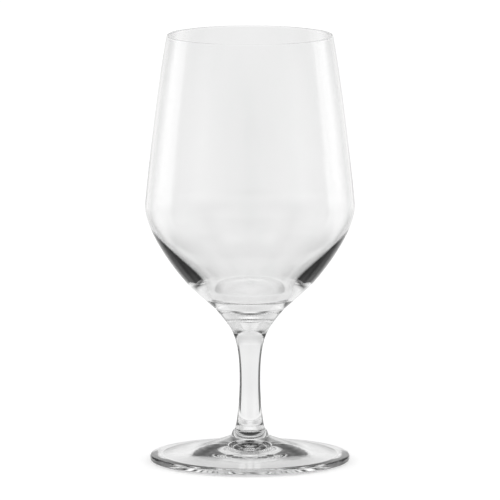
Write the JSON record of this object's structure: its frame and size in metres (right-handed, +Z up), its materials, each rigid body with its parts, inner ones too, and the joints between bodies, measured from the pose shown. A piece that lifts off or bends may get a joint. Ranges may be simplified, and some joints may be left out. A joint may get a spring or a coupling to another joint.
{
  "type": "goblet",
  "caption": "Clear stemmed goblet: tapered bowl with a thin lip and heavy floor, slim waisted stem with a collar, round foot with a hollow underside.",
  "frame": {"origin": "middle of the flat resting ring under the foot, on the table", "axes": "+Z up along the axis of the glass; the glass is round, so X and Y are free"},
  "size_m": [0.082, 0.082, 0.168],
  "materials": {
    "blown_glass": "clear, fire polished, thin wall",
    "drawn_glass": "clear, fire polished, solid",
    "pressed_glass": "clear, fire polished, spun edge"
  },
  "bodies": {
    "root": {"bowl": "blown_glass", "stem": "drawn_glass", "foot": "pressed_glass"}
  },
  "joints": []
}
